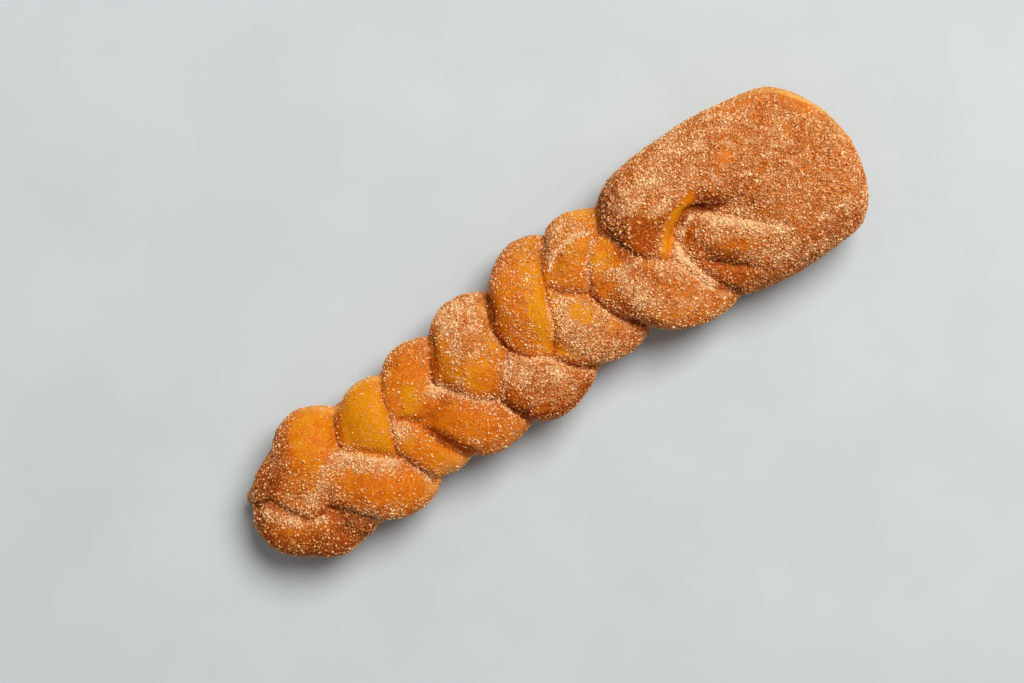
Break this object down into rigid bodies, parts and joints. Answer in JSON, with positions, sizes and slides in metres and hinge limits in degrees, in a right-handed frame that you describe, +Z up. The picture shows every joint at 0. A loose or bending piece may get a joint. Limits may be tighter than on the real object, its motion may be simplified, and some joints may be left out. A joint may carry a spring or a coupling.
{
  "type": "twisted doughnut",
  "caption": "Long doughnut plaited from strips of yeast dough, with a smooth uncut head and a pinched tail, crusted with cinnamon sugar.",
  "frame": {"origin": "centre of the bounding box's bottom, on the surface the doughnut lies on", "axes": "+X from the pinched tail to the uncut head, +Z up, +Y to the left of the head"},
  "size_m": [0.2372, 0.0628, 0.035],
  "materials": {
    "dough": "fried golden brown crust under a rough coat of cinnamon sugar"
  },
  "bodies": {
    "root": {"twisted_doughnut": "dough"}
  },
  "joints": []
}
